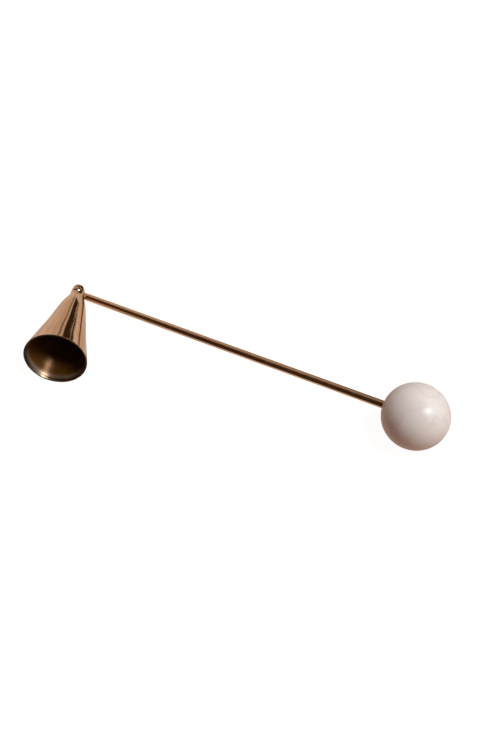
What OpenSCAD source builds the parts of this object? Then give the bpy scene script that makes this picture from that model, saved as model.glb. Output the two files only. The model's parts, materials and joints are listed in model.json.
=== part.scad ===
// Candle snuffer: a thin brass bell hinged to a long rod, with a marble ball as the handle.
// It lies at rest on the plane z = 0: the bell on its side, the ball touching.
// The handle points along +X, and the origin is under the middle of the whole object.

/* [Handle] */
// Distance from the hinge pin to the centre of the ball
reach = 210; // [190:1:230]
// Diameter of the rod
rod_d = 4.3; // [4:0.1:4.6]
// Diameter of the marble ball
ball_d = 35; // [32:0.5:38]
// Depth of the glued socket in the ball
socket_depth = 16; // [12:0.5:20]

/* [Bell] */
// Distance along the bell from the hinge pin to the plane of the mouth
bell_length = 59.8; // [55:0.1:65]
// Outer diameter of the mouth
mouth_d = 34.4; // [32:0.1:37]
// Thickness of the bell's wall
bell_wall = 0.9; // [0.7:0.05:1.1]

/* [Hinge] */
// Angle between the rod and the bell's axis as the object lies at rest
rest_angle = 65.3; // [65:0.1:80]
// Diameter of the round knuckle on top of the bell
knuckle_d = 8.6; // [8.4:0.05:8.8]
// Thickness of the tongue that sits in the knuckle's slot
tongue_t = 2.2; // [2:0.05:2.4]
// Diameter of the rivet's shank
rivet_d = 2.5; // [2.2:0.05:2.6]
// Diameter of the rivet's domed head
rivet_head_d = 4.8; // [4.4:0.1:5]

/* [Fits] */
// Gap on each side of the tongue in its slot
side_play = 0.1; // [0.08:0.01:0.15]
// Gap all round the rivet in the tongue's eye
rivet_play = 0.05; // [0.02:0.01:0.08]
// Thickness of the glue round the rod
glue_t = 0.25; // [0.2:0.05:0.4]

/* [Hidden] */
$fn = 96;
over = 1; // how far a cutting shape runs past the face that it cuts

brass = [0.72, 0.54, 0.40];
dark_brass = [0.62, 0.45, 0.32];
marble = [0.88, 0.85, 0.82];
resin = [0.80, 0.76, 0.66];

rod_r = rod_d / 2;
ball_r = ball_d / 2;
mouth_r = mouth_d / 2;
knuckle_r = knuckle_d / 2;

// Bell outline, as [radius, distance from the pin]: a rounded shoulder, then a slightly hollow flare
shoulder_top = 4.2;
shoulder_bottom = 18;
flare_length = bell_length - shoulder_bottom;
flare_slope = 0.2125; // how much the flare widens on each side, on average
shoulder_r = mouth_r - flare_slope * flare_length;
shoulder_slope = 0.19;
mouth_slope = 0.22;
top_handle = 1; // how far the shoulder keeps the knuckle's straight side
bottom_handle = 9; // how far up the shoulder follows the flare's slope
shoulder_curve = [
    [knuckle_r, shoulder_top],
    [knuckle_r, shoulder_top + top_handle],
    [shoulder_r - shoulder_slope * bottom_handle, shoulder_bottom - bottom_handle],
    [shoulder_r, shoulder_bottom]
];
flare_curve = [
    [shoulder_r, shoulder_bottom],
    [shoulder_r + shoulder_slope * flare_length / 3, shoulder_bottom + flare_length / 3],
    [mouth_r - mouth_slope * flare_length / 3, bell_length - flare_length / 3],
    [mouth_r, bell_length]
];
curve_steps = 16;
seam_step = 7; // the step of the shoulder where the knuckle is brazed to the shell

function bezier(p, t) =
    pow(1 - t, 3) * p[0] + 3 * t * pow(1 - t, 2) * p[1] + 3 * t * t * (1 - t) * p[2] + pow(t, 3) * p[3];
function curve(points, first, last) = [for (i = [first:last]) bezier(points, i / curve_steps)];

seam = bezier(shoulder_curve, seam_step / curve_steps);
plug_wall = 1.2; // shell left round the plug at the seam
plug_length = 4;
plug_r = seam[0] - plug_wall;
plug_end = seam[1] + plug_length;
crown_t = 1.5; // shell left below the plug
cavity_top = plug_end + crown_t;
rim_ease = 0.2;

// Hinge
slot_t = tongue_t + 2 * side_play;
slot_depth = 5.2;
ear_ease = 0.1; // how much less the ears' round end is than the knuckle
ear_r = knuckle_r - ear_ease;
ear_round_r = 5.8; // ball-shaped rounding of the ears' corners
eye_wall = 1.45; // metal round the tongue's hole
eye_r = rivet_d / 2 + eye_wall;
tail_r = 1.2;
tail_length = 8;
tongue_length = 6.7; // from the pin to the rod's end
head_play = 0.05;
seat_r = rivet_head_d / 2 + head_play;
seat_sink = 0.12; // how far the head's flat seat is sunk at its shallowest
head_seat = sqrt(pow(knuckle_r, 2) - pow(seat_r, 2)) - seat_sink;
head_height = 1.4;
head_round_r = (pow(rivet_head_d / 2, 2) + pow(head_height, 2)) / (2 * head_height);
countersink_r = 1.9;
countersink_depth = 0.65;
rivet_set_back = 0.05; // how far the rivet's tail ends inside the countersink's rim
rivet_end = sqrt(pow(knuckle_r, 2) - pow(countersink_r, 2)) - rivet_set_back;

// Glued end of the rod
socket_r = rod_r + glue_t;
socket_start = reach - ball_r;
rod_end = socket_start + socket_depth - glue_t;
key_grooves = 4;
key_groove_depth = 0.2;
key_groove_width = 0.8;
key_groove_pitch = 2.5;
glue_set_back = 0.5;

// How the snuffer rests: the bell leans on the knuckle's end and its rim, and the ball touches
ear_corner = sqrt(pow(ear_round_r, 2) - pow(knuckle_r, 2));
bell_lean = atan((mouth_r - knuckle_r) / (bell_length + ear_corner));
pin_height = mouth_r * cos(bell_lean) - bell_length * sin(bell_lean);
rod_rise = asin((ball_r - pin_height) / reach);
roll = asin((cos(rest_angle) * sin(rod_rise) - sin(bell_lean)) / (sin(rest_angle) * cos(rod_rise)));

// Half-way between the ends of the resting object, from the pin
bell_axis_y = sin(rest_angle) * cos(roll);
mid_x = (reach * cos(rod_rise) + ball_r - ear_r) / 2;
mid_y = (ball_r - bell_length * bell_axis_y - mouth_r * sqrt(1 - pow(bell_axis_y, 2))) / 2;

// From the hinge's own axes (pin along Z, rod along X) to the resting place
module at_rest() {
    translate([-mid_x, -mid_y, pin_height])
        rotate([0, -rod_rise, 0])
            rotate([roll, 0, 0])
                children();
}

// From the bell's own axes (mouth towards +Z, pin along X) to the hinge's
module along_bell() {
    rotate([0, 90, -rest_angle]) children();
}

// From a shape drawn up Z to one that lies along the rod
module along_rod(start = 0) {
    translate([start, 0, 0]) rotate([0, 90, 0]) children();
}

module bell_shell() {
    outside = concat(
        curve(shoulder_curve, seam_step, curve_steps),
        curve(flare_curve, 1, curve_steps - 1),
        [[mouth_r - mouth_slope * rim_ease, bell_length - rim_ease], [mouth_r - rim_ease, bell_length]]
    );
    cavity = [for (p = outside) if (p[1] > cavity_top && p[1] < bell_length - rim_ease) p - [bell_wall, 0]];
    color(brass) at_rest() along_bell() rotate_extrude()
        polygon(concat(
            outside,
            [[mouth_r - bell_wall + rim_ease, bell_length], [mouth_r - bell_wall, bell_length - rim_ease]],
            [for (i = [len(cavity) - 1:-1:0]) cavity[i]],
            [[plug_r, plug_end], [plug_r, seam[1]]]
        ));
}

// Rounded end of the knuckle: a bar's end turned about the pin, with soft corners
module ears() {
    intersection() {
        along_bell() translate([0, 0, -ear_round_r - over]) cylinder(r = knuckle_r, h = ear_round_r + over);
        cylinder(r = ear_r, h = knuckle_d + 2 * over, center = true);
        sphere(r = ear_round_r);
    }
}

// The knuckle below the pin: it widens into the bell's shoulder and ends in a plug inside the neck
module neck() {
    along_bell() rotate_extrude()
        polygon(concat(
            [[0, 0], [knuckle_r, 0]],
            curve(shoulder_curve, 0, seam_step),
            [[plug_r, seam[1]], [plug_r, plug_end], [0, plug_end]]
        ));
}

module rivet_hole() {
    cylinder(r = rivet_d / 2, h = knuckle_d + 2 * over, center = true);
    translate([0, 0, head_seat]) cylinder(r = seat_r, h = knuckle_r);
    translate([0, 0, -rivet_end])
        cylinder(r1 = countersink_r, r2 = rivet_d / 2, h = countersink_depth);
    translate([0, 0, -rivet_end - knuckle_r]) cylinder(r = countersink_r, h = knuckle_r);
}

module bell_fork() {
    color(brass) at_rest() difference() {
        union() {
            ears();
            neck();
        }
        along_bell()
            translate([-slot_t / 2, -knuckle_d, -knuckle_d])
                cube([slot_t, 2 * knuckle_d, knuckle_d + slot_depth]);
        rivet_hole();
    }
}

module hinge_rivet() {
    color(dark_brass) at_rest() {
        translate([0, 0, -rivet_end]) cylinder(r = rivet_d / 2, h = rivet_end + head_seat);
        translate([0, 0, -rivet_end])
            cylinder(r1 = countersink_r, r2 = rivet_d / 2, h = countersink_depth);
        intersection() {
            translate([0, 0, head_seat + head_height - head_round_r]) sphere(r = head_round_r);
            translate([0, 0, head_seat]) cylinder(r = rivet_head_d / 2 + over, h = head_height + over);
        }
    }
}

module hinge_tongue() {
    color(brass) at_rest() difference() {
        union() {
            cylinder(r = eye_r, h = tongue_t, center = true);
            intersection() {
                along_rod() cylinder(r = rod_r, h = tongue_length);
                translate([0, -rod_d, -tongue_t / 2]) cube([tongue_length, 2 * rod_d, tongue_t]);
            }
            along_rod(tongue_length - over) cylinder(r = tail_r, h = tail_length + over);
        }
        cylinder(r = rivet_d / 2 + rivet_play, h = tongue_t + 2 * over, center = true);
    }
}

// The rod's outside, with the grooves that key it into the glue
module rod_bar() {
    difference() {
        along_rod(tongue_length) cylinder(r = rod_r, h = rod_end - tongue_length);
        for (i = [1:key_grooves])
            along_rod(rod_end - i * key_groove_pitch)
                difference() {
                    cylinder(r = rod_r + over, h = key_groove_width);
                    cylinder(r = rod_r - key_groove_depth, h = key_groove_width);
                }
    }
}

module handle_rod() {
    color(brass) at_rest() difference() {
        rod_bar();
        along_rod(tongue_length - over) cylinder(r = tail_r, h = tail_length + over);
    }
}

module socket_epoxy() {
    color(resin) at_rest() difference() {
        along_rod(socket_start + glue_set_back)
            cylinder(r = socket_r, h = socket_depth - glue_set_back);
        rod_bar();
    }
}

module marble_ball() {
    color(marble) at_rest() difference() {
        translate([reach, 0, 0]) sphere(r = ball_r);
        along_rod(socket_start - over) cylinder(r = socket_r, h = socket_depth + over);
    }
}

bell_shell();
bell_fork();
hinge_rivet();
hinge_tongue();
handle_rod();
socket_epoxy();
marble_ball();
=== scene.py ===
"""A candle snuffer at rest on a pale floor: a brass bell hinged to a rod with a marble ball."""
import json
import math

import bpy
import numpy as np
from mathutils import Matrix, Vector


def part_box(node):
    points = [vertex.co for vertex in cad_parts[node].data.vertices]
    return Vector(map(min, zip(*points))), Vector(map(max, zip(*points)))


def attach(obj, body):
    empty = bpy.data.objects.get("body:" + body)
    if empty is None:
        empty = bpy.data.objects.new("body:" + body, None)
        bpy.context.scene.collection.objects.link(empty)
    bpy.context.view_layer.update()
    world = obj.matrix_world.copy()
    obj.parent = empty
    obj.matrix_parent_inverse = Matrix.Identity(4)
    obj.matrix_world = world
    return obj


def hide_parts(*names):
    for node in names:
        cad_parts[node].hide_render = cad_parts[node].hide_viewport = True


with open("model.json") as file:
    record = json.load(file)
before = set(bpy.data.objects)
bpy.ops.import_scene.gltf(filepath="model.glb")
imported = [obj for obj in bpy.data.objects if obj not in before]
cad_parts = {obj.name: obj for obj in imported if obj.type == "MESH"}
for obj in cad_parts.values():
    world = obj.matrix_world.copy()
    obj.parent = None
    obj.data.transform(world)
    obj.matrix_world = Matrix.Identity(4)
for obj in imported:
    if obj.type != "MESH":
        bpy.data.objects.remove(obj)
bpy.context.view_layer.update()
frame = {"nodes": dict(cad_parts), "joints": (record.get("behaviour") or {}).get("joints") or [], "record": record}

MM = 0.001  # shapes are drawn in millimetres, and the scene is in metres
SAME_RING = 0.002  # mm between vertices of one ring of a turned CAD node
ON_AXIS = 1e-6  # mm
X, Y, Z = 0, 1, 2


# ---------------------------------------------------------------- places, all from the frame

def placement(origin, along, across):
    """The place of a piece whose own Z runs along one direction and whose X is nearest another."""
    z = Vector(along).normalized()
    y = z.cross(Vector(across)).normalized()
    place = Matrix((y.cross(z), y, z)).transposed().to_4x4()
    place.translation = origin
    return place


def points_of(node, place):
    """A CAD node's vertices in a placement's own axes, in millimetres."""
    points = np.array([v.co for v in frame["nodes"][node].data.vertices])
    inverse = np.array(place.inverted())
    return (points @ inverse[:3, :3].T + inverse[:3, 3]) / MM


def rings_of(node, place):
    """The rings of a turned CAD node: for each distance along its axis, the least and greatest radius."""
    points = points_of(node, place)
    points = points[np.argsort(points[:, Z])]
    radii = np.hypot(points[:, X], points[:, Y])
    starts = np.flatnonzero(np.diff(points[:, Z]) > SAME_RING) + 1
    rings = zip(np.split(points[:, Z], starts), np.split(radii, starts))
    return [(s.mean(), r.min(), r.max()) for s, r in rings]


def rising(rings):
    """The rings that keep a profile from narrowing, which leaves out those of another surface."""
    kept = rings[:1]
    for ring in rings[1:]:
        if ring[1] > kept[-1][1] - SAME_RING:
            kept.append(ring)
    return kept


HINGE_JOINT = frame["joints"][0]
MOUTH = frame["record"]["mounts"][0]
HINGE = Vector(HINGE_JOINT["pos_m"])
PIN_UP = -Vector(HINGE_JOINT["axis"])
BALL_LOW, BALL_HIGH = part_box("marble_ball")
BALL_R = (BALL_HIGH.z - BALL_LOW.z) / 2
BALL = Vector((BALL_HIGH.x - BALL_R, (BALL_LOW.y + BALL_HIGH.y) / 2, BALL_LOW.z + BALL_R))

ALONG_BELL = placement(HINGE, MOUTH["axis"], PIN_UP)
ALONG_ROD = placement(HINGE, BALL - HINGE, PIN_UP)
ALONG_PIN = placement(HINGE, PIN_UP, MOUTH["axis"])


# ---------------------------------------------------------------- making pieces

def make_piece(name, points, faces, place, materials, kinds=None, sharp_above=40):
    """An object from points in millimetres in a placement's axes; kinds gives each face's material."""
    mesh = bpy.data.meshes.new(name)
    turn = np.array(place)
    mesh.from_pydata((np.asarray(points) * MM @ turn[:3, :3].T + turn[:3, 3]).tolist(), [], faces)
    for material in materials:
        mesh.materials.append(material)
    if kinds is not None:
        mesh.polygons.foreach_set("material_index", kinds)
    mesh.polygons.foreach_set("use_smooth", [True] * len(mesh.polygons))
    mesh.set_sharp_from_angle(angle=math.radians(sharp_above))
    mesh.update()
    piece = bpy.data.objects.new(name, mesh)
    bpy.context.scene.collection.objects.link(piece)
    return piece


def revolve(outline, turns, closed=False, swell=None):
    """Points and faces of a turned shape. outline lists (radius, distance along the axis), ordered so
    that the solid is on its left as the distance grows outside. swell(row, angles) adds to the radius."""
    angles = np.arange(turns) * math.tau / turns
    points, rows = [], []
    for row, (radius, along) in enumerate(outline):
        on_axis = radius < ON_AXIS
        at = angles[:1] if on_axis else angles
        around = radius + (0 if swell is None or on_axis else swell(row, at))
        first = rows[-1][-1] + 1 if rows else 0
        rows.append(np.arange(len(at)) + first)
        points.append(np.stack([around * np.cos(at), around * np.sin(at), np.full(len(at), along)], 1))
    faces, bands = [], []
    pairs = list(zip(rows, rows[1:])) + ([(rows[-1], rows[0])] if closed else [])
    for band, (low, high) in enumerate(pairs):
        for i in range(turns):
            a, b = low[i % len(low)], low[(i + 1) % len(low)]
            d, c = high[i % len(high)], high[(i + 1) % len(high)]
            faces.append([int(v) for v in dict.fromkeys((a, b, c, d))])
            bands.append(band)
    return np.concatenate(points), faces, bands


def rounded(corner, before, after, ease, steps=5):
    """Points that ease an outline's corner, from the side of the point before it to the point after."""
    corner, before, after = (np.array(p, float) for p in (corner, before, after))
    start = corner + (before - corner) / np.linalg.norm(before - corner) * ease
    end = corner + (after - corner) / np.linalg.norm(after - corner) * ease
    return [tuple((1 - t) ** 2 * start + 2 * t * (1 - t) * corner + t * t * end)
            for t in np.linspace(0, 1, steps)]


def eased(outline, ease):
    """An open outline with every inner corner eased."""
    middle = [p for a, b, c in zip(outline, outline[1:], outline[2:]) for p in rounded(b, a, c, ease)]
    return [outline[0]] + middle + [outline[-1]]


def smooth_max(a, b, soft):
    """The greater of two fields, blended where they are within soft of each other."""
    share = np.clip(0.5 + 0.5 * (a - b) / soft, 0, 1)
    return a * share + b * (1 - share) + soft * share * (1 - share)


def smooth_min(a, b, soft):
    return -smooth_max(-a, -b, soft)


def surface_net(field, low, high, cell):
    """Points and faces of the surface where a field is zero. The field is negative inside."""
    axes = [np.arange(a, b + cell, cell) for a, b in zip(low, high)]
    grid = np.stack(np.meshgrid(*axes, indexing="ij"), -1)
    inside = field(grid.reshape(-1, 3)).reshape(grid.shape[:3]) < 0
    nx, ny, nz = (n - 1 for n in inside.shape)
    corners = [inside[i:i + nx, j:j + ny, k:k + nz] for i in (0, 1) for j in (0, 1) for k in (0, 1)]
    crossed = np.any(corners, axis=0) & ~np.all(corners, axis=0)
    number = np.full(crossed.shape, -1)
    number[crossed] = np.arange(crossed.sum())
    points = grid[:-1, :-1, :-1][crossed] + cell / 2
    unit = np.eye(3, dtype=int)
    quads = []
    for axis in (X, Y, Z):
        length = inside.shape[axis] - 1
        start = np.take(inside, range(length), axis)
        edges = np.argwhere(start != np.take(inside, range(1, length + 1), axis))
        b, c = unit[(axis + 1) % 3], unit[(axis + 2) % 3]
        quad = np.stack([number[tuple((edges - o).T)] for o in (0 * b, b, b + c, c)], 1)
        leaving = start[tuple(edges.T)]
        quads.append(np.where(leaving[:, None], quad, quad[:, ::-1]))
    quads = np.concatenate(quads)
    return settle(points, quads, field, cell), quads.tolist()


def settle(points, quads, field, cell, rounds=6, steps=3):
    """Evens out a net's points and brings them onto the surface where the field is zero."""
    count = np.bincount(quads.ravel(), minlength=len(points))[:, None]
    for _ in range(rounds):
        middles = points[quads].mean(1)
        total = np.zeros_like(points)
        for side in range(4):
            np.add.at(total, quads[:, side], middles)
        points = total / count
        for _ in range(steps):
            points = points - newton_step(points, field, cell)
    return points


def newton_step(points, field, cell, reach=1e-3, least_square=0.05, least_size=1e-9):
    """How far each point moves to bring the field there to zero, at most half a cell."""
    slope = np.stack([(field(points + d) - field(points - d)) / (2 * reach) for d in reach * np.eye(3)], 1)
    square = np.maximum((slope ** 2).sum(1), least_square)[:, None]
    step = field(points)[:, None] * slope / square
    size = np.linalg.norm(step, axis=1)[:, None]
    return step * np.minimum(1, cell / 2 / np.maximum(size, least_size))


# ---------------------------------------------------------------- nodes for materials

def add(tree, kind, inputs=None, **settings):
    """A node with its settings, and its inputs by name or index; a socket given as a value is linked."""
    node = tree.nodes.new(kind)
    for name, value in settings.items():
        setattr(node, name, value)
    for key, value in (inputs or {}).items():
        if isinstance(value, bpy.types.NodeSocket):
            tree.links.new(value, node.inputs[key])
        else:
            node.inputs[key].default_value = value
    return node


def colour(red, green, blue):
    return (red, green, blue, 1.0)


def maths(tree, operation, a, b=0.0):
    return add(tree, "ShaderNodeMath", {0: a, 1: b}, operation=operation).outputs[0]


def noise(tree, vector, scale, detail=3.0, roughness=0.5):
    inputs = {"Vector": vector, "Scale": scale, "Detail": detail, "Roughness": roughness}
    return add(tree, "ShaderNodeTexNoise", inputs).outputs["Fac"]


def between(tree, value, low, high, to_low=0.0, to_high=1.0, smooth=False):
    """A value's place between two limits, carried to a new range and clamped."""
    kind = "SMOOTHSTEP" if smooth else "LINEAR"
    inputs = {0: value, 1: low, 2: high, 3: to_low, 4: to_high}
    return add(tree, "ShaderNodeMapRange", inputs, interpolation_type=kind).outputs[0]


def mix(tree, factor, a, b):
    """Two colours mixed by a factor."""
    return add(tree, "ShaderNodeMix", {0: factor, 6: a, 7: b}, data_type="RGBA").outputs[2]


def own_place(tree):
    """A piece's own coordinates in metres, with Z along its axis."""
    return tree.nodes["own place"].outputs[0]


def turning_axis(tree, place):
    """The axis of a turned piece, which its lathe rings lie square to."""
    return add(tree, "ShaderNodeVectorTransform", {0: place.col[Z].to_3d()}, vector_type="VECTOR",
               convert_from="OBJECT", convert_to="WORLD").outputs[0]


def along_axis(tree):
    """The distance along a piece's axis, in metres."""
    return add(tree, "ShaderNodeSeparateXYZ", {0: own_place(tree)}).outputs[Z]


def turned_place(tree, around, along):
    """Coordinates for marks that follow turning or drawing: a unit circle round the axis times around,
    and the distance along the axis in metres times along."""
    parts = add(tree, "ShaderNodeSeparateXYZ", {0: own_place(tree)})
    flat = add(tree, "ShaderNodeCombineXYZ", {0: parts.outputs[X], 1: parts.outputs[Y]})
    unit = add(tree, "ShaderNodeVectorMath", {0: flat.outputs[0]}, operation="NORMALIZE")
    circle = add(tree, "ShaderNodeVectorMath", {0: unit.outputs[0], "Scale": around}, operation="SCALE")
    lift = add(tree, "ShaderNodeCombineXYZ", {2: maths(tree, "MULTIPLY", parts.outputs[Z], along)})
    return add(tree, "ShaderNodeVectorMath", {0: circle.outputs[0], 1: lift.outputs[0]}).outputs[0]


def bump(tree, height, depth, under=None):
    """A normal raised by a height from 0 to 1 times a depth in metres."""
    inputs = {"Height": height, "Distance": depth, "Strength": 1.0}
    if under is not None:
        inputs["Normal"] = under
    return add(tree, "ShaderNodeBump", inputs).outputs[0]


def material(name, build, place=Matrix.Identity(4)):
    """A node material in a placement's axes; build(tree) returns the inputs of its surface shader."""
    made = bpy.data.materials.new(name)
    made.use_nodes = True
    tree = made.node_tree
    tree.nodes.clear()
    row_place = add(tree, "ShaderNodeTexCoord").outputs["Object"]
    inputs = {"Vector": row_place, "Location": place.translation, "Rotation": place.to_euler()}
    add(tree, "ShaderNodeMapping", inputs, vector_type="TEXTURE").name = "own place"
    shader = add(tree, "ShaderNodeBsdfPrincipled", build(tree))
    add(tree, "ShaderNodeOutputMaterial", {"Surface": shader.outputs[0]})
    return made


# ---------------------------------------------------------------- materials

BRASS = colour(0.80, 0.53, 0.335)
BRASS_LIGHT = colour(0.90, 0.65, 0.44)
BRASS_DARK = colour(0.55, 0.33, 0.185)
BRASS_RIVET = colour(0.66, 0.42, 0.26)
BRASS_TONGUE = colour(0.64, 0.40, 0.25)
# Painted shade: the dark browns of the bell's inside and of the plug's end stand for the shade in the hollow
INSIDE_PAINTED_SHADE = colour(0.20, 0.085, 0.012)
INSIDE_PAINTED_SHADE_DARK = colour(0.11, 0.043, 0.006)
BRASS_LIP = colour(0.90, 0.79, 0.66)
BRASS_LIP_DARK = colour(0.16, 0.085, 0.03)
MARBLE = colour(0.85, 0.82, 0.80)
MARBLE_WARM = colour(0.81, 0.765, 0.735)
MARBLE_GREY = colour(0.68, 0.655, 0.64)
EPOXY = colour(0.62, 0.55, 0.42)
EPOXY_DARK = colour(0.42, 0.35, 0.25)
INSIDE_METALLIC = 0.45  # metallic of the bell's inside, where its colour is painted dark as shade, against 1 at the lip
WORN_LIP = 1.6  # mm of the outside, up to the mouth, that handling has rubbed pale
SHADE_FADE_AT_LIP = (5.0, 0.5)  # mm from the mouth where the inside's painted shade begins to fade, and where it is gone


def worn_brass(tree, light, wear, marks, smoothest=0.10, roughest=0.24):
    """Polished brass: cloudy tone, darker spots, fine marks, and paler, smoother metal where it wears."""
    place = own_place(tree)
    cloud = between(tree, noise(tree, place, 110, 4), 0.35, 0.65)
    spots = between(tree, noise(tree, place, 420, 5, 0.65), 0.60, 0.74)
    tone = mix(tree, maths(tree, "MULTIPLY", cloud, 0.30), light, BRASS_DARK)
    tone = mix(tree, maths(tree, "MULTIPLY", spots, 0.35), tone, BRASS_DARK)
    tone = mix(tree, wear, tone, BRASS_LIGHT)
    fine = between(tree, marks, 0.45, 0.75)
    rough = between(tree, noise(tree, place, 260, 4), 0.3, 0.7, smoothest, roughest)
    rough = maths(tree, "ADD", rough, maths(tree, "MULTIPLY", fine, 0.06))
    rough = maths(tree, "SUBTRACT", rough, maths(tree, "MULTIPLY", wear, 0.04))
    normal = bump(tree, noise(tree, place, 1500, 2), 0.000006)
    normal = bump(tree, fine, 0.000002, normal)
    return {"Base Color": tone, "Metallic": 1.0, "Roughness": rough, "Normal": normal}


def edge_wear(tree):
    """1 along the outer edges of a finely divided mesh, 0 on its flats, broken up by noise."""
    point = add(tree, "ShaderNodeNewGeometry").outputs["Pointiness"]
    edge = between(tree, point, 0.505, 0.56)
    patchy = between(tree, noise(tree, own_place(tree), 600, 4), 0.35, 0.6)
    return maths(tree, "MULTIPLY", edge, patchy)


def bell_outside(tree):
    """The bell's outside: polished round the axis, palest along the lip."""
    lip = between(tree, along_axis(tree), (MOUTH_END - WORN_LIP) * MM, MOUTH_END * MM)
    patchy = between(tree, noise(tree, turned_place(tree, 9, 300), 1), 0.3, 0.6)
    marks = noise(tree, turned_place(tree, 2.2, 9000), 1, 4, 0.7)
    return worn_brass(tree, BRASS, maths(tree, "MULTIPLY", lip, patchy), marks, 0.03, 0.10)


def bell_inside(tree):
    """The bell's inside: brown metal left from the lathe, in fine rings, painted dark as shade deep in the hollow
    and paler at the lip.
    """
    starts, ends = ((MOUTH_END - away) * MM for away in SHADE_FADE_AT_LIP)
    lip = between(tree, along_axis(tree), starts, ends, smooth=True)
    rings = noise(tree, turned_place(tree, 0.4, 1300), 1, 5, 0.75)
    cloud = noise(tree, turned_place(tree, 1.6, 90), 1, 4)
    shade = between(tree, maths(tree, "ADD", rings, cloud), 0.75, 1.3)
    dark = mix(tree, shade, INSIDE_PAINTED_SHADE_DARK, INSIDE_PAINTED_SHADE)
    bright = mix(tree, shade, BRASS_LIP_DARK, BRASS_LIP)
    # Painted shade: dark deep in the bell, giving way to the pale lip tones near the mouth
    tone = mix(tree, lip, dark, bright)
    rough = between(tree, rings, 0.3, 0.7, 0.34, 0.44)
    normal = bump(tree, rings, 0.00002)
    lip_metallic = between(tree, lip, 0.0, 1.0, INSIDE_METALLIC, 1.0)
    return {"Base Color": tone, "Metallic": lip_metallic, "Roughness": rough, "Normal": normal,
            "Anisotropic": 0.85, "Tangent": turning_axis(tree, ALONG_BELL)}


def filed_brass(tree):
    """The fork and the knuckle: filed and polished, with worn edges."""
    marks = noise(tree, turned_place(tree, 3, 4000), 1, 4, 0.7)
    return worn_brass(tree, BRASS, edge_wear(tree), marks)


def plug_brass(tree):
    """The end of the fork's plug, seen at the top of the bell's inside: painted dark as shade, like the metal
    round it.
    """
    shade = between(tree, noise(tree, own_place(tree), 900, 4), 0.3, 0.7)
    # Painted shade: the plug's end takes the dark colours of the shaded inside
    tone = mix(tree, shade, INSIDE_PAINTED_SHADE_DARK, INSIDE_PAINTED_SHADE)
    rough = between(tree, shade, 0.0, 1.0, 0.36, 0.5)
    normal = bump(tree, shade, 0.00001)
    return {"Base Color": tone, "Metallic": INSIDE_METALLIC, "Roughness": rough, "Normal": normal}


def rivet_brass(tree):
    """The rivet: a little darker, with marks round its head."""
    marks = noise(tree, own_place(tree), 2500, 4, 0.7)
    return worn_brass(tree, BRASS_RIVET, edge_wear(tree), marks, 0.14, 0.3)


def tongue_brass(tree):
    """The tongue: satin metal, rubbed along the handle."""
    marks = noise(tree, turned_place(tree, 30, 160), 1, 4, 0.7)
    return worn_brass(tree, BRASS_TONGUE, edge_wear(tree), marks, 0.2, 0.34)


def rod_brass(tree):
    """The rod: drawn, so that its marks run along it."""
    marks = noise(tree, turned_place(tree, 26, 60), 1, 5, 0.7)
    wear = between(tree, noise(tree, turned_place(tree, 3, 140), 1, 4), 0.55, 0.75, 0, 0.5)
    return worn_brass(tree, BRASS, wear, marks, 0.12, 0.24)


def marble(tree):
    """Polished off-white marble: cloudy, with a few faint warm and grey veins."""
    place = own_place(tree)
    twist = add(tree, "ShaderNodeTexNoise", {"Vector": place, "Scale": 45.0, "Detail": 4.0})
    shift = add(tree, "ShaderNodeVectorMath", {0: twist.outputs["Color"], "Scale": 0.012},
                operation="SCALE")
    bent = add(tree, "ShaderNodeVectorMath", {0: place, 1: shift.outputs[0]}).outputs[0]
    cloud = between(tree, noise(tree, bent, 60, 5), 0.35, 0.7)
    vein = maths(tree, "ABSOLUTE", maths(tree, "SUBTRACT", noise(tree, bent, 38, 6, 0.6), 0.5))
    vein = between(tree, vein, 0.0, 0.035, 0.4, 0.0, smooth=True)
    grain = noise(tree, place, 1400, 3, 0.6)
    tone = mix(tree, cloud, MARBLE, MARBLE_WARM)
    tone = mix(tree, vein, tone, MARBLE_GREY)
    tone = mix(tree, between(tree, grain, 0.55, 0.75, 0, 0.25), tone, MARBLE_GREY)
    return {"Base Color": tone, "Roughness": between(tree, grain, 0.3, 0.7, 0.34, 0.46),
            "Subsurface Weight": 0.25, "Subsurface Scale": 0.0025,
            "Subsurface Radius": (1.0, 0.75, 0.6), "Specular IOR Level": 0.12,
            "Coat Weight": 0.045, "Coat Roughness": 0.15,
            "Normal": bump(tree, grain, 0.000004)}


def epoxy(tree):
    """Set glue: amber, with a wavy skin and small bubbles."""
    place = own_place(tree)
    cloud = noise(tree, place, 700, 4)
    bubbles = add(tree, "ShaderNodeTexVoronoi", {"Vector": place, "Scale": 2600.0}).outputs["Distance"]
    tone = mix(tree, between(tree, cloud, 0.35, 0.65), EPOXY, EPOXY_DARK)
    height = maths(tree, "ADD", cloud, between(tree, bubbles, 0.0, 0.2, -0.3, 0.0))
    return {"Base Color": tone, "Roughness": between(tree, cloud, 0.3, 0.7, 0.2, 0.4),
            "Normal": bump(tree, height, 0.00003)}


# ---------------------------------------------------------------- the bell

SHELL_RINGS = rings_of("bell_shell", ALONG_BELL)
SHELL_START, BORE_R, _ = SHELL_RINGS[0]
MOUTH_END = SHELL_RINGS[-1][0]
LIP_EASE = 0.28
FORK_POINTS = points_of("bell_fork", ALONG_BELL)
PLUG_END = FORK_POINTS[:, Z].max()
KNUCKLE_R = np.hypot(FORK_POINTS[:, X], FORK_POINTS[:, Y])[FORK_POINTS[:, Z] < 0].max()
NECK_RINGS = [(s, most) for s, _, most in rings_of("bell_fork", ALONG_BELL)
              if 0 <= s < SHELL_START - 0.1 and most > KNUCKLE_R - 0.01]
RIM_START = MOUTH_END - 0.1
OUTER_RINGS = rising(NECK_RINGS + [(s, most) for s, _, most in SHELL_RINGS if s < RIM_START])
INNER_RINGS = [(s, least) for s, least, _ in SHELL_RINGS if PLUG_END + 0.5 < s < RIM_START]
CAVITY_RINGS = [(-s, -r) for s, r in rising([(-s, -r) for s, r in INNER_RINGS[::-1]])[::-1]]


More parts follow.
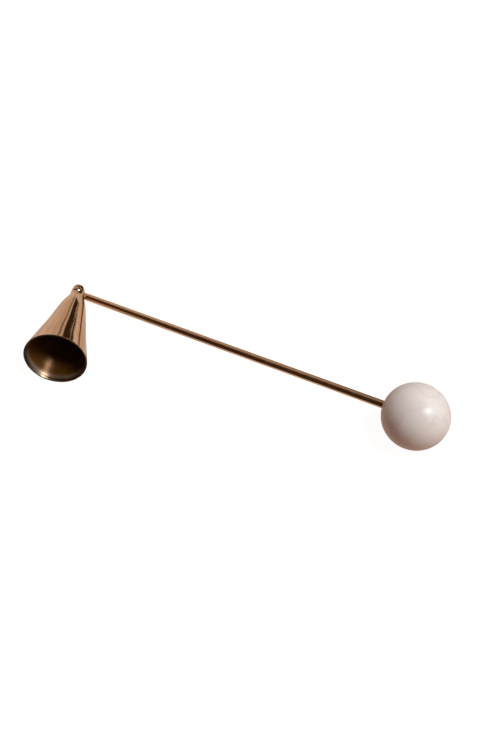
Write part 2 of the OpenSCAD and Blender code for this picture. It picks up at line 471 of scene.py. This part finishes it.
def smooth_profile(rings, low, high, step=0.35, soft=0.9):
    """A turned profile between two distances, with the small corners of the CAD outline smoothed."""
    s, r = np.array(rings).T
    fine = np.arange(low, high + step / 2, step)
    offsets = np.linspace(-2 * soft, 2 * soft, 17)
    weights = np.exp(-(offsets / soft) ** 2)
    at = fine[:, None] + offsets
    start = (r[1] - r[0]) / (s[1] - s[0])
    end = (r[-1] - r[-2]) / (s[-1] - s[-2])
    value = np.interp(at, s, r) + np.minimum(at - s[0], 0) * start + np.maximum(at - s[-1], 0) * end
    return list(zip((value * weights).sum(1) / weights.sum(), fine))


# Shallow waves in the bell's polished skin: lobes round it, length along it (minus for the other
# hand) and depth in mm, and phase in radians
FINISH_WAVES = (
    (1, 26.0, 0.034, 0.4), (2, -31.0, 0.024, 2.1), (3, 22.0, 0.020, 4.0),
    (5, -70.0, 0.008, 1.2), (8, 90.0, 0.005, 5.2),
)
FINISH_SINK = 0.06  # mm taken off all over, so that few waves rise past the turned shape
FINISH_FADES = (0.12, 0.05)  # shares of the shell's length over which the waves die out, top and lip


def hand_finish(along, angles):
    """How far hand finishing moved the bell's skin, in mm."""
    share = (along - SHELL_START) / (MOUTH_END - SHELL_START)
    at_top, at_lip = FINISH_FADES
    fade = np.clip(share / at_top, 0, 1) * np.clip((1 - share) / at_lip, 0, 1)
    waves = sum(
        depth * np.cos(lobes * angles + math.tau * along / length + phase)
        for lobes, length, depth, phase in FINISH_WAVES
    )
    return fade * (waves - FINISH_SINK)


BELL_SKIN = smooth_profile(OUTER_RINGS, 0, MOUTH_END - LIP_EASE)
BELL_TURNS = 240
RIM_SPREAD = 0.02  # how much thicker the wall is at the rim, on each side


def build_bell_shell():
    """The thin flared shell, with a rounded lip and an uneven hand-finished skin."""
    start = (np.interp(SHELL_START, *np.array(BELL_SKIN).T[::-1]), SHELL_START)
    outside = [start] + [(r, s) for r, s in BELL_SKIN if s > SHELL_START + 0.05]
    inside = smooth_profile(CAVITY_RINGS, CAVITY_RINGS[0][0], MOUTH_END - LIP_EASE)
    corner_out = (outside[-1][0] + RIM_SPREAD, MOUTH_END)
    corner_in = (inside[-1][0] - RIM_SPREAD, MOUTH_END)
    rim = rounded(corner_out, outside[-1], corner_in, LIP_EASE)
    rim += rounded(corner_in, corner_out, inside[-1], LIP_EASE)
    bore = [(BORE_R, PLUG_END), (BORE_R, SHELL_START)]
    outline = outside + rim + inside[::-1] + bore

    def swell(row, angles):
        return hand_finish(outline[row][1], angles)

    points, faces, bands = revolve(outline, BELL_TURNS, closed=True, swell=swell)
    inner_from = len(outside) + len(rim) - 1
    kinds = [1 if band >= inner_from else 0 for band in bands]
    skins = [material("bell_polished", bell_outside, ALONG_BELL),
             material("bell_inside_turned_painted_shade", bell_inside, ALONG_BELL)]
    return make_piece("bell_shell_skin", points, faces, ALONG_BELL, skins, kinds)


RIVET_POINTS = points_of("hinge_rivet", ALONG_PIN)
RIVET_RADII = np.hypot(RIVET_POINTS[:, X], RIVET_POINTS[:, Y])
SKIN_R, SKIN_S = np.array(BELL_SKIN).T
SEAM_LAP = 0.3
SEAM_TAPER = 0.1
PLUG_GAP = 0.02
EAR_END = -FORK_POINTS[:, Z].min()
EAR_EASE = 0.35
CORNER_EASE = 0.5
PLUG_EASE = 0.3
SLOT_FLOOR_EASE = 0.25
SLOT_EDGE_EASE = 0.28
HOLE_EASE = 0.08
SLOT_HALF = np.abs(FORK_POINTS[FORK_POINTS[:, Z] < -EAR_END / 2][:, X]).min()
SLOT_DEPTH = FORK_POINTS[(np.abs(np.abs(FORK_POINTS[:, X]) - SLOT_HALF) < 0.005)
                         & (FORK_POINTS[:, Z] < SHELL_START - 1)][:, Z].max()
EAR_ROUND_R = 5.8
RIVET_TAIL = -RIVET_POINTS[:, Z].min()
HEAD_GAP = 0.05
SHANK_GAP = 0.02
HEAD_R = RIVET_RADII.max()
HEAD_SEAT = RIVET_POINTS[RIVET_RADII > HEAD_R - 0.01][:, Z].min()
HEAD_TOP = RIVET_POINTS[:, Z].max()
SHANK_R = RIVET_RADII[np.abs(RIVET_POINTS[:, Z] - HEAD_SEAT) < 0.01].min()
COUNTERSINK_R = RIVET_RADII[RIVET_POINTS[:, Z] < 0].max()
COUNTERSINK_DEPTH = 0.65
RIVET_EASE = 0.09
DOME_SHARE = 0.93  # how much of the head's dome is left inside its eased edge
DOME_STEPS = 22
RIVET_TURNS = 96


def fork_field(p):
    """Below zero inside the fork: a round bar with a rounded end, slotted and drilled for the rivet."""
    x, y, s = p.T
    bar = np.hypot(x, y)
    pin = np.hypot(y, s)
    outside = bar - np.where(s < 0, KNUCKLE_R, np.interp(s, SKIN_S, SKIN_R))
    end = np.where(s < 0, pin, np.abs(y) - 2 * s) - EAR_END
    outside = smooth_max(outside, end, EAR_EASE)
    ball = np.sqrt(x * x + y * y + np.minimum(s, 0) ** 2) - EAR_ROUND_R
    outside = smooth_max(outside, ball, CORNER_EASE)
    past_seam = s - SHELL_START
    outside = np.maximum(outside + SEAM_TAPER * np.maximum(past_seam, 0), past_seam - SEAM_LAP)
    plug_side = bar - BORE_R + PLUG_GAP
    plug = smooth_max(plug_side, np.abs(past_seam) - PLUG_END + SHELL_START, PLUG_EASE)
    solid = np.minimum(outside, plug)
    slot = smooth_max(np.abs(x) - SLOT_HALF, s - SLOT_DEPTH, SLOT_FLOOR_EASE)
    solid = smooth_max(solid, -slot, SLOT_EDGE_EASE)
    head = np.maximum(HEAD_SEAT - x, pin - HEAD_R - HEAD_GAP)
    tail = np.maximum(x + RIVET_TAIL, pin - COUNTERSINK_R)
    shank = pin - SHANK_R - SHANK_GAP
    return smooth_max(solid, -np.minimum(np.minimum(head, tail), shank), HOLE_EASE)


NET_MARGIN = 0.4
FORK_CELL = 0.15


def build_bell_fork():
    """The knuckle with its two ears, eased along every edge, and its plug's end painted dark as shade, like the
    inside.
    """
    low, high = FORK_POINTS.min(0) - NET_MARGIN, FORK_POINTS.max(0) + NET_MARGIN
    points, faces = surface_net(fork_field, low, high, FORK_CELL)
    at_end = points[np.array(faces)][:, :, Z].mean(1) > PLUG_END - PLUG_EASE
    skins = [material("fork_filed", filed_brass, ALONG_BELL),
             material("plug_end_painted_shade", plug_brass, ALONG_BELL)]
    return make_piece("bell_fork_eased", points, faces, ALONG_BELL, skins, at_end.astype(int), 70)


def build_rivet():
    """The rivet: a low domed head, a shank, and a tail spread into its countersink."""
    dome_r = (HEAD_R ** 2 + (HEAD_TOP - HEAD_SEAT) ** 2) / (2 * (HEAD_TOP - HEAD_SEAT))
    edge = math.asin(min(1.0, HEAD_R / dome_r))
    dome = [(dome_r * math.sin(a), HEAD_TOP - dome_r * (1 - math.cos(a)))
            for a in np.linspace(edge * DOME_SHARE, 0, DOME_STEPS)]
    shank = [(0.0, -RIVET_TAIL), (COUNTERSINK_R, -RIVET_TAIL),
             (SHANK_R, -RIVET_TAIL + COUNTERSINK_DEPTH),
             (SHANK_R, HEAD_SEAT), (HEAD_R, HEAD_SEAT), dome[0]]
    outline = eased(shank, RIVET_EASE)[:-1] + dome
    points, faces, _ = revolve(outline, RIVET_TURNS)
    skin = [material("rivet_turned", rivet_brass, ALONG_PIN)]
    return make_piece("hinge_rivet_turned", points, faces, ALONG_PIN, skin)


# ---------------------------------------------------------------- the handle

ROD_RINGS = rings_of("handle_rod", ALONG_ROD)
ROD_START, TAIL_R, _ = ROD_RINGS[0]
ROD_END = ROD_RINGS[-1][0]
ROD_R = max(most for _, _, most in ROD_RINGS)
TONGUE_POINTS = points_of("hinge_tongue", ALONG_ROD)
TONGUE_HALF = np.abs(TONGUE_POINTS[TONGUE_POINTS[:, Z] < 0][:, X]).max()
EYE_R = -TONGUE_POINTS[:, Z].min()
TAIL_END = TONGUE_POINTS[:, Z].max()
BALL_RINGS = rings_of("marble_ball", ALONG_ROD)
REACH = (BALL - HINGE).length / MM
HOLE_R = min(least for s, least, most in BALL_RINGS if s < REACH - 2)
TAIL_START = 5.0
TAIL_GAP = 0.02
EYE_GAP = 0.05
TONGUE_CELL = 0.12
TONGUE_EASE = 0.3
EYE_TO_BAR_EASE = 0.6
EYE_HOLE_EASE = 0.15
BAR_END_EASE = 0.1
ROD_EASE = 0.14
ROD_WAVE = 0.006
ROD_STEPS = 220
ROD_TURNS = 96
SOCKET_EASE = 0.3
SOCKET_EASE_ANGLE = 0.03  # radians of the ball's outline that the eased edge of its socket takes up
BALL_STEPS = 150
BALL_TURNS = 192


def tongue_field(p):
    """Below zero inside the tongue: a flat eye on the pin, running into the rod, with a hidden tail."""
    x, y, s = p.T
    eye = np.hypot(y, s) - EYE_R
    bar = smooth_max(np.hypot(x, y) - ROD_R, np.maximum(-s, s - ROD_START), BAR_END_EASE)
    flat = smooth_max(smooth_min(eye, bar, EYE_TO_BAR_EASE), np.abs(x) - TONGUE_HALF, TONGUE_EASE)
    tail_middle, tail_half = (TAIL_END + TAIL_START) / 2, (TAIL_END - TAIL_START) / 2
    tail = np.maximum(np.hypot(x, y) - TAIL_R + TAIL_GAP, np.abs(s - tail_middle) - tail_half)
    hole = SHANK_R + EYE_GAP - np.hypot(y, s)
    return smooth_max(np.minimum(flat, tail), hole, EYE_HOLE_EASE)


def build_tongue():
    """The flat tongue that turns on the rivet."""
    low, high = TONGUE_POINTS.min(0) - NET_MARGIN, TONGUE_POINTS.max(0) + NET_MARGIN
    points, faces = surface_net(tongue_field, low, high, TONGUE_CELL)
    skin = [material("tongue_satin", tongue_brass, ALONG_ROD)]
    return make_piece("hinge_tongue_eased", points, faces, ALONG_ROD, skin, sharp_above=70)


def build_rod():
    """The drawn rod: eased at the hinge, very slightly uneven, grooved where it sits in the glue."""
    glued = [ring for ring in ROD_RINGS if REACH / 2 < ring[0] < ROD_END - 0.1]
    grooves = [s for s, least, _ in glued if least < ROD_R - 0.05]
    groove_r = min(least for s, least, _ in ROD_RINGS if s in grooves)
    plain = [(TAIL_R, ROD_START + 2), (TAIL_R, ROD_START), (ROD_R, ROD_START), (ROD_R, ROD_START + 1)]
    outline = eased(plain, ROD_EASE)
    outline += [(ROD_R, s) for s in np.linspace(ROD_START + 2, grooves[0] - 1, ROD_STEPS)]
    for first, last in zip(grooves[::2], grooves[1::2]):
        outline += [(ROD_R, first), (groove_r, first), (groove_r, last), (ROD_R, last)]
    outline += [(ROD_R, ROD_END), (0.0, ROD_END)]

    def swell(row, angles):
        along = outline[row][1]
        fade = float(ROD_START + 2 < along < grooves[0])
        return fade * ROD_WAVE * (np.cos(2 * angles + along / 9) + np.cos(angles - along / 5.5) - 2)

    outline = [(0.0, ROD_START + 2)] + outline
    points, faces, _ = revolve(outline, ROD_TURNS, swell=swell)
    skin = [material("rod_drawn", rod_brass, ALONG_ROD)]
    return make_piece("handle_rod_drawn", points, faces, ALONG_ROD, skin)


def build_ball():
    """The marble ball, with a drilled socket whose mouth is eased."""
    radius = BALL_R / MM
    floor = max(s for s, least, _ in BALL_RINGS if abs(least - HOLE_R) < 0.02)
    mouth_angle = math.asin(HOLE_R / radius)
    arc = [(radius * math.sin(a), REACH - radius * math.cos(a))
           for a in np.linspace(mouth_angle + SOCKET_EASE_ANGLE, math.pi, BALL_STEPS)]
    mouth = (HOLE_R, REACH - radius * math.cos(mouth_angle))
    eased_mouth = rounded(mouth, (HOLE_R, floor), arc[0], SOCKET_EASE)
    outline = [(0.0, floor), (HOLE_R, floor)] + eased_mouth + arc[1:-1]
    outline.append((0.0, REACH + radius))
    points, faces, _ = revolve(outline, BALL_TURNS)
    points[:, Z] -= REACH
    place = ALONG_ROD.copy()
    place.translation = BALL
    return make_piece("marble_ball_polished", points, faces, place, [material("marble", marble, place)])


# ---------------------------------------------------------------- the whole object

for build, body, node, slot in (
    (build_bell_shell, "bell", "bell_shell", "bell_brass"),
    (build_bell_fork, "bell", "bell_fork", "fork_brass"),
    (build_rivet, "bell", "hinge_rivet", "rivet_brass"),
    (build_tongue, "handle", "hinge_tongue", "tongue_brass"),
    (build_rod, "handle", "handle_rod", "rod_brass"),
    (build_ball, "handle", "marble_ball", "marble"),
):
    piece = build()
    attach(piece, body)
    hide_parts(node)

glue = frame["nodes"]["socket_epoxy"]
glue.data.materials.clear()
glue.data.materials.append(material("epoxy_set", epoxy))


# ---------------------------------------------------------------- floor, light and camera

FLOOR_WHITE = colour(0.93, 0.925, 0.92)
FLOOR_TAN = colour(0.72, 0.60, 0.52)
ROOM_DARK = colour(0.040, 0.020, 0.009)
ROOM_PALE = colour(0.72, 0.60, 0.52)
ROOM_BROWN = colour(0.38, 0.27, 0.20)
ROOM_LOW = colour(0.56, 0.31, 0.24)
FRONT_FLOOR = (BALL.y - 0.040, BALL.y - 0.022)  # along Y, where the mirrored floor goes from dark to lit
FAR_FLOOR = (0.15, 0.19)  # along Y, where it goes dark again
FAR_FLOOR_LEFT = (-0.15, -0.12)  # along X, where that far dark part begins
FLOOR_RADIUS = 3.0
MIRRORED_RADIUS = 0.45
MIRRORED_HEIGHT = -0.0004
DOME_RADIUS = 2.9


def emitting_floor(name, tone, glow, albedo, dark_parts=False):
    """A matte floor that also glows a little, so that shadows on it stay faint. dark_parts dims it
    where the studio is dark: in front of the rod, and far behind the bell."""
    made = bpy.data.materials.new(name)
    made.use_nodes = True
    tree = made.node_tree
    tree.nodes.clear()
    place = add(tree, "ShaderNodeTexCoord").outputs["Object"]
    cloud = between(tree, noise(tree, place, 6, 3), 0.3, 0.7, 0.97, 1.0)
    if dark_parts:
        parts = add(tree, "ShaderNodeSeparateXYZ", {0: place})
        blotch = between(tree, noise(tree, place, 14, 3), 0.4, 0.65, 1.0, 0.72)
        front = between(tree, parts.outputs[Y], *FRONT_FLOOR, 0.06, 1.0, smooth=True)
        cloud = maths(tree, "MULTIPLY", maths(tree, "MULTIPLY", cloud, front), blotch)
        far = between(tree, parts.outputs[Y], *FAR_FLOOR)
        rightward = between(tree, parts.outputs[X], *FAR_FLOOR_LEFT)
        near = maths(tree, "SUBTRACT", 1.0, maths(tree, "MULTIPLY", far, rightward))
        cloud = maths(tree, "MULTIPLY", cloud, between(tree, near, 0.0, 1.0, 0.03, 1.0))
    shaded = mix(tree, cloud, colour(0, 0, 0), tone)
    light = add(tree, "ShaderNodeEmission", {"Color": shaded, "Strength": glow})
    matte = mix(tree, maths(tree, "MULTIPLY", cloud, albedo), colour(0, 0, 0), tone)
    matte = add(tree, "ShaderNodeBsdfDiffuse", {"Color": matte})
    both = add(tree, "ShaderNodeAddShader", {0: matte.outputs[0], 1: light.outputs[0]})
    add(tree, "ShaderNodeOutputMaterial", {"Surface": both.outputs[0]})
    return made


def disc(name, radius, height, surface, rings=40, turns=96):
    """A flat round floor."""
    outline = [(0.0, height)] + [(radius * (i / rings) ** 2, height) for i in range(1, rings + 1)]
    points, faces, _ = revolve([(r / MM, h / MM) for r, h in outline], turns)
    floor = make_piece(name, points, faces, Matrix.Identity(4), [surface])
    return floor


def build_floors():
    """The pale floor that the camera sees, and the tan one that only reflections see."""
    seen = disc("floor", FLOOR_RADIUS, 0.0, emitting_floor("floor_pale", FLOOR_WHITE, 1.06, 0.14))
    seen.visible_diffuse = seen.visible_glossy = seen.visible_transmission = False
    warm = emitting_floor("floor_warm", FLOOR_TAN, 0.95, 0.30, dark_parts=True)
    mirrored = disc("floor_mirrored", MIRRORED_RADIUS, MIRRORED_HEIGHT, warm)
    mirrored.visible_camera = mirrored.visible_shadow = mirrored.visible_diffuse = False


def build_backdrop():
    """A pale dome behind everything, seen only by the camera."""
    radius = DOME_RADIUS / MM
    arc = [(radius * math.sin(a), radius * math.cos(a)) for a in np.linspace(0, math.pi * 0.6, 40)]
    outline = [(0.0, radius)] + arc[1:]
    points, faces, _ = revolve(outline, 96)
    dome = make_piece("backdrop", points, faces, Matrix.Identity(4),
                      [emitting_floor("backdrop_pale", FLOOR_WHITE, 1.02, 0.0)])
    dome.visible_diffuse = dome.visible_glossy = dome.visible_transmission = False
    dome.visible_shadow = False


LEFT_EDGE = math.radians(21)
LEFT_LEAN = 0.35
LEFTWARD = (-math.cos(LEFT_EDGE), -math.sin(LEFT_EDGE), LEFT_LEAN)
POST_OFFSET = math.sin(math.radians(8))
GROUND = (-0.10, -0.085)  # Z of directions, where the room gives way to its warm floor


def build_world():
    """A dark brown room with three pale parts, left, right and overhead, and a warm floor. A narrow
    dark post stands in front of the left part, near its edge."""
    world = bpy.data.worlds.new("room")
    bpy.context.scene.world = world
    world.use_nodes = True
    tree = world.node_tree
    tree.nodes.clear()
    direction = add(tree, "ShaderNodeTexCoord").outputs["Generated"]
    parts = add(tree, "ShaderNodeSeparateXYZ", {0: direction})
    aside, behind, height = parts.outputs[X], parts.outputs[Y], parts.outputs[Z]

    def both(a, b):
        return maths(tree, "MULTIPLY", a, b)

    side = add(tree, "ShaderNodeVectorMath", {0: direction, 1: LEFTWARD}, operation="DOT_PRODUCT")
    side = side.outputs["Value"]
    left = both(between(tree, side, 0.0, 0.03, smooth=True),
                between(tree, height, 0.7, 0.95, 0.9, 0.0, smooth=True))
    left = both(left, between(tree, behind, -0.08, 0.18, smooth=True))
    from_post = maths(tree, "ABSOLUTE", maths(tree, "SUBTRACT", side, POST_OFFSET))
    left = both(left, between(tree, from_post, 0.026, 0.052, 0.30, 1.0, smooth=True))
    right = both(between(tree, aside, 0.2, 0.5, smooth=True),
                 between(tree, height, 0.4, 0.75, 0.4, 0.0, smooth=True))
    ceiling = both(between(tree, height, 0.80, 0.88, smooth=True),
                   between(tree, behind, -0.06, 0.08, 0.0, 0.40, smooth=True))
    pale = maths(tree, "MAXIMUM", left, maths(tree, "MAXIMUM", right, ceiling))
    cloud = between(tree, noise(tree, direction, 5, 3), 0.4, 0.65, 0.0, 0.5)
    light = mix(tree, cloud, ROOM_PALE, ROOM_BROWN)
    tone = mix(tree, pale, ROOM_DARK, light)
    tone = mix(tree, between(tree, height, *GROUND, 1.0, 0.0), tone, ROOM_LOW)
    back = add(tree, "ShaderNodeBackground", {"Color": tone, "Strength": 1.0})
    add(tree, "ShaderNodeOutputWorld", {"Surface": back.outputs[0]})


def area_light(name, towards, distance, size, power, tint):
    """A square light at a distance in one direction, which shines on the middle of the object."""
    lamp = bpy.data.lights.new(name, "AREA")
    lamp.shape, lamp.size = "SQUARE", size
    lamp.energy, lamp.color = power, tint
    holder = bpy.data.objects.new(name, lamp)
    towards = Vector(towards).normalized()
    holder.location = towards * distance
    holder.rotation_mode = "QUATERNION"
    holder.rotation_quaternion = (-towards).to_track_quat("-Z", "Y")
    bpy.context.scene.collection.objects.link(holder)
    return holder


def build_lights():
    """A soft light on matte surfaces, and a smaller one whose image shows in the glossy ones."""
    soft = area_light("soft_light", towards=(0.47, 0.07, 0.88), distance=1.2, size=0.45,
                      power=11.3, tint=(1.0, 0.98, 0.97))
    soft.visible_glossy = False
    glint = area_light("glint", towards=(0.58, 0.04, 0.81), distance=1.0, size=0.18,
                       power=19.0, tint=(1.0, 0.98, 0.96))
    glint.visible_diffuse = False
    # Only on surfaces seen directly, so that the bell's own glint isn't mirrored in the rod
    glint.data.cycles.max_bounces = 0
    glint.data.cycles.use_multiple_importance_sampling = False


CAMERA_AZIMUTH, CAMERA_ELEVATION, CAMERA_ROLL = (math.radians(a) for a in (26.2, 53.4, 0.79))
CAMERA_DISTANCE = 0.4024
CAMERA_LENS = 34.78
AIM = Vector((-0.0017, BALL.y - 0.0021, 0.0))


def build_camera():
    """The camera, above and to the right of the front, aimed at the floor under the rod's middle."""
    flat = math.cos(CAMERA_ELEVATION)
    back = Vector((math.sin(CAMERA_AZIMUTH) * flat, -math.cos(CAMERA_AZIMUTH) * flat,
                   math.sin(CAMERA_ELEVATION)))
    right = Vector((math.cos(CAMERA_AZIMUTH), math.sin(CAMERA_AZIMUTH), 0.0))
    turn = Matrix.Rotation(CAMERA_ROLL, 3, back)
    right = turn @ right
    place = Matrix((right, back.cross(right), back)).transposed().to_4x4()
    place.translation = AIM + back * CAMERA_DISTANCE
    data = bpy.data.cameras.new("camera")
    data.lens, data.sensor_width, data.clip_start = CAMERA_LENS, 36.0, 0.01
    camera = bpy.data.objects.new("camera", data)
    camera.matrix_world = place
    bpy.context.scene.collection.objects.link(camera)
    bpy.context.scene.camera = camera


build_floors()
build_backdrop()
build_world()
build_lights()
build_camera()
bpy.context.scene.view_settings.view_transform = "Standard"
